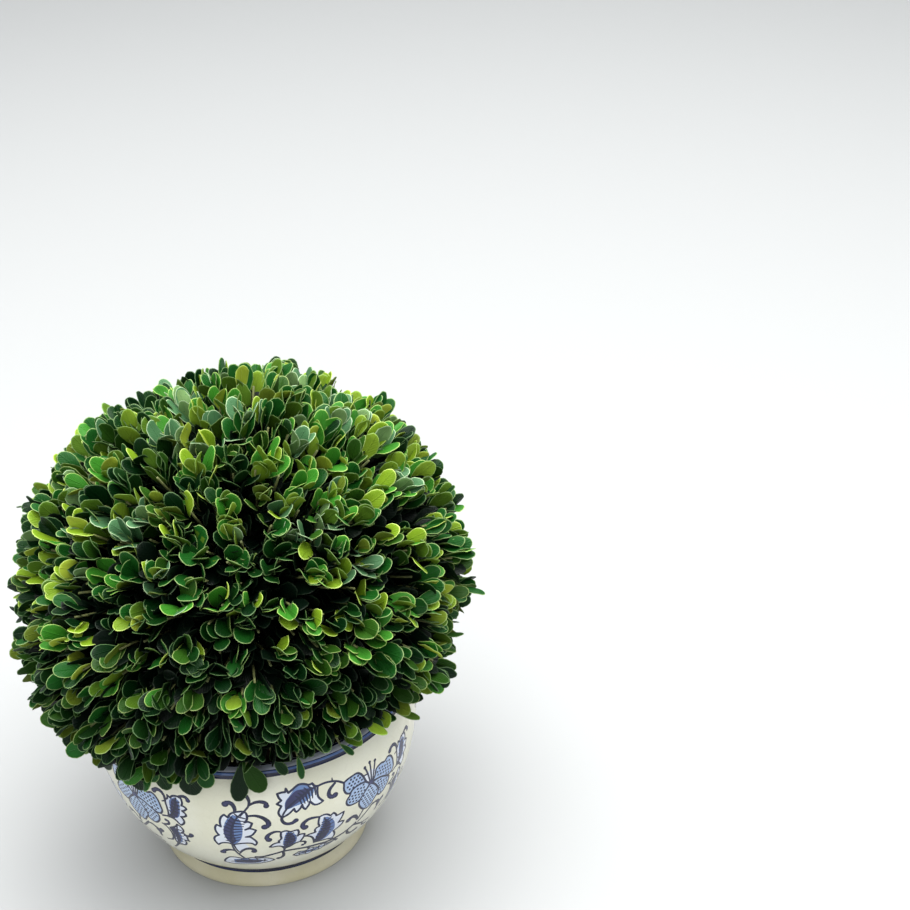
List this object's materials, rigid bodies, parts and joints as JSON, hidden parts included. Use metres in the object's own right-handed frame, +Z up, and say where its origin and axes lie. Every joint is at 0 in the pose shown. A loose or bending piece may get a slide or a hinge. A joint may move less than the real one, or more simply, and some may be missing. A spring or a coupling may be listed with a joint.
{
  "type": "box topiary ball in a glazed planter",
  "caption": "Ball of clipped box leaves on a short hidden stem, growing in a round glazed bowl planter with a foot ring and a rolled lip; it stands free as an ornamental plant.",
  "frame": {"origin": "middle of the planter's foot ring, on the surface it stands on, which is also the middle of the bottom of the bounding box", "axes": "+Z up along the planter's axis, which is the longest side of the bounding box; -Y towards the side that the picture shows"},
  "size_m": [0.2349, 0.2359, 0.2748],
  "materials": {
    "glaze": "gloss",
    "potting_mix": "matte",
    "bark": "matte",
    "leaves": "satin"
  },
  "bodies": {
    "root": {"pot": "glaze", "pot_fill": "potting_mix", "stem": "bark", "leaf_ball": "leaves"}
  },
  "joints": []
}
